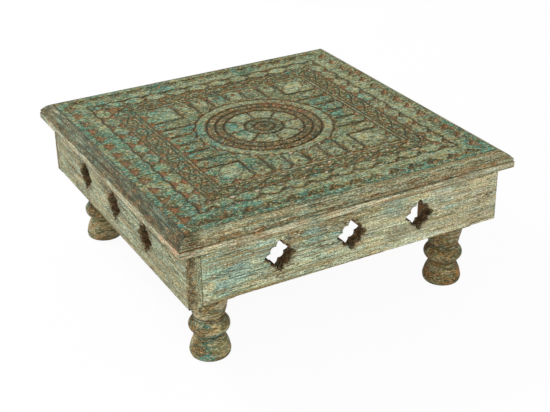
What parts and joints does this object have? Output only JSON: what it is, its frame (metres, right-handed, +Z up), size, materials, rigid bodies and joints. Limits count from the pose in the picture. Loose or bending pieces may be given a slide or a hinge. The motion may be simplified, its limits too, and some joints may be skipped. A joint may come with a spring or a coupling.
{
  "type": "bajot low table",
  "caption": "Low square wooden table with a carved medallion top in a moulded rim, pierced aprons and short turned legs, for serving or sitting at floor level.",
  "frame": {"origin": "on the floor, under the middle of the square top", "axes": "+Z up through the top; the front apron faces -Y; +X is to the right seen from the front"},
  "size_m": [0.45, 0.45, 0.19],
  "materials": {
    "painted_panel": "sage, cream and aqua paint rubbed back to brown wood, carved in relief",
    "painted_rim": "rubbed sage and cream paint, bare on the edges",
    "painted_apron": "rubbed sage, mint and aqua paint over brown wood",
    "painted_leg": "worn olive, ochre and green paint over turned wood",
    "bare_wood": "unpainted sawn wood",
    "dowel_wood": "unpainted hardwood dowel",
    "screw_steel": "plain steel"
  },
  "bodies": {
    "root": {"top_panel": "painted_panel", "rim_front": "painted_rim", "rim_right": "painted_rim", "rim_rear": "painted_rim", "rim_left": "painted_rim", "apron_front": "painted_apron", "apron_right": "painted_apron", "apron_rear": "painted_apron", "apron_left": "painted_apron", "leg_front_left": "painted_leg", "leg_front_right": "painted_leg", "leg_rear_right": "painted_leg", "leg_rear_left": "painted_leg", "batten_left": "bare_wood", "batten_right": "bare_wood", "screw_left_front": "screw_steel", "screw_left_middle": "screw_steel", "screw_left_rear": "screw_steel", "screw_right_front": "screw_steel", "screw_right_middle": "screw_steel", "screw_right_rear": "screw_steel", "head_dowel_front_left": "dowel_wood", "head_dowel_front_right": "dowel_wood", "head_dowel_rear_right": "dowel_wood", "head_dowel_rear_left": "dowel_wood", "apron_dowel_front_near_low": "dowel_wood", "apron_dowel_front_near_high": "dowel_wood", "apron_dowel_front_far_low": "dowel_wood", "apron_dowel_front_far_high": "dowel_wood", "apron_dowel_right_near_low": "dowel_wood", "apron_dowel_right_near_high": "dowel_wood", "apron_dowel_right_far_low": "dowel_wood", "apron_dowel_right_far_high": "dowel_wood", "apron_dowel_rear_near_low": "dowel_wood", "apron_dowel_rear_near_high": "dowel_wood", "apron_dowel_rear_far_low": "dowel_wood", "apron_dowel_rear_far_high": "dowel_wood", "apron_dowel_left_near_low": "dowel_wood", "apron_dowel_left_near_high": "dowel_wood", "apron_dowel_left_far_low": "dowel_wood", "apron_dowel_left_far_high": "dowel_wood"}
  },
  "joints": []
}
